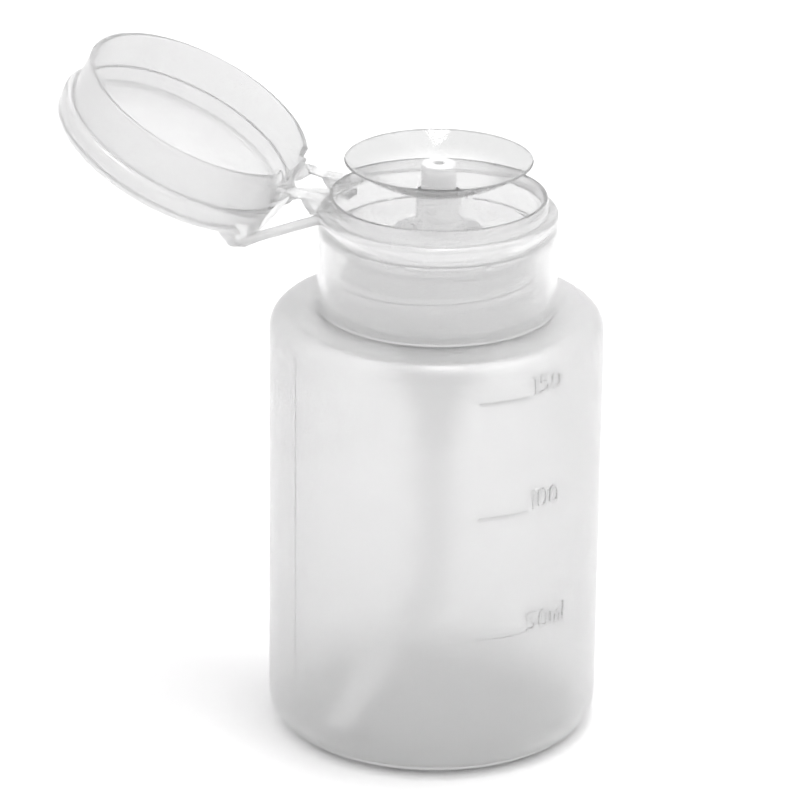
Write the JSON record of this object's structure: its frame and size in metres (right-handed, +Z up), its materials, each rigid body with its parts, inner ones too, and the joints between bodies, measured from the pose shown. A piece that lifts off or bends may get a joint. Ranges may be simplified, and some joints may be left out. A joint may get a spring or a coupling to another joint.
{
  "type": "pump oil bottle",
  "caption": "Round translucent graduated bottle with a threaded collar, a hinged flip lid and a push-down dish pump with return spring, check balls and dip tube.",
  "frame": {"origin": "centre of the standing ring under the bottle, on the bottle's axis", "axes": "+Z up along the bottle's axis; -X towards the lid's hinge, whose line is parallel to Y"},
  "size_m": [0.0933, 0.056, 0.1144],
  "materials": {
    "bottle_pe": "natural translucent polyethylene, satin",
    "collar_pp": "translucent polypropylene, moulded smooth",
    "lid_pp": "translucent polypropylene, moulded smooth",
    "dish_clear": "clear moulded plastic, polished",
    "pump_pp": "milky polypropylene",
    "tube_pe": "extruded translucent polyethylene",
    "spring_steel": "drawn stainless wire",
    "ball_steel": "polished stainless",
    "gasket_foam": "soft white sealing foam"
  },
  "bodies": {
    "bottle": {"bottle": "bottle_pe"},
    "pump_engine": {"pump_housing": "pump_pp", "chaplet": "pump_pp", "neck_gasket": "gasket_foam", "dip_tube": "tube_pe", "ball_cage": "pump_pp", "return_spring": "spring_steel"},
    "collar": {"screw_collar": "collar_pp", "hinge_web_front": "lid_pp", "hinge_web_back": "lid_pp", "hinge_strap_front": "lid_pp", "hinge_strap_back": "lid_pp"},
    "lid": {"flip_lid": "lid_pp"},
    "plunger": {"press_dish": "dish_clear", "pump_stem": "pump_pp", "piston": "pump_pp", "stem_plug": "pump_pp"},
    "outlet_valve": {"outlet_ball": "ball_steel"},
    "inlet_valve": {"inlet_ball": "ball_steel"}
  },
  "joints": [
    {"name": "collar_lift", "type": "slide", "parent": "bottle", "child": "pump_engine", "axis": [0, 0, 1], "range_m": [0, 0.0048]},
    {"name": "collar_turn", "type": "hinge", "parent": "pump_engine", "child": "collar", "pos_m": [0, 0, 0], "axis": [0, 0, 1], "range_deg": [0, 400]},
    {"name": "lid_hinge", "type": "hinge", "parent": "collar", "child": "lid", "pos_m": [-0.02245, 0, 0.0935], "axis": [0, -1, 0], "range_deg": [-152.8, 0], "deforming": ["hinge_web_front", "hinge_web_back", "hinge_strap_front", "hinge_strap_back"]},
    {"name": "pump_press", "type": "slide", "parent": "pump_engine", "child": "plunger", "axis": [0, 0, -1], "range_m": [0, 0.0055], "stiffness_N_per_m": 800, "springref_m": -0.002, "deforming": ["return_spring"]},
    {"name": "outlet_check", "type": "slide", "parent": "plunger", "child": "outlet_valve", "axis": [0, 0, 1], "range_m": [0, 0.0012]},
    {"name": "inlet_check", "type": "slide", "parent": "pump_engine", "child": "inlet_valve", "axis": [0, 0, 1], "range_m": [0, 0.0012]}
  ],
  "couplings": [
    {"joint": "collar_lift", "follows": "collar_turn", "m_per_rad": 0.00067323}
  ]
}
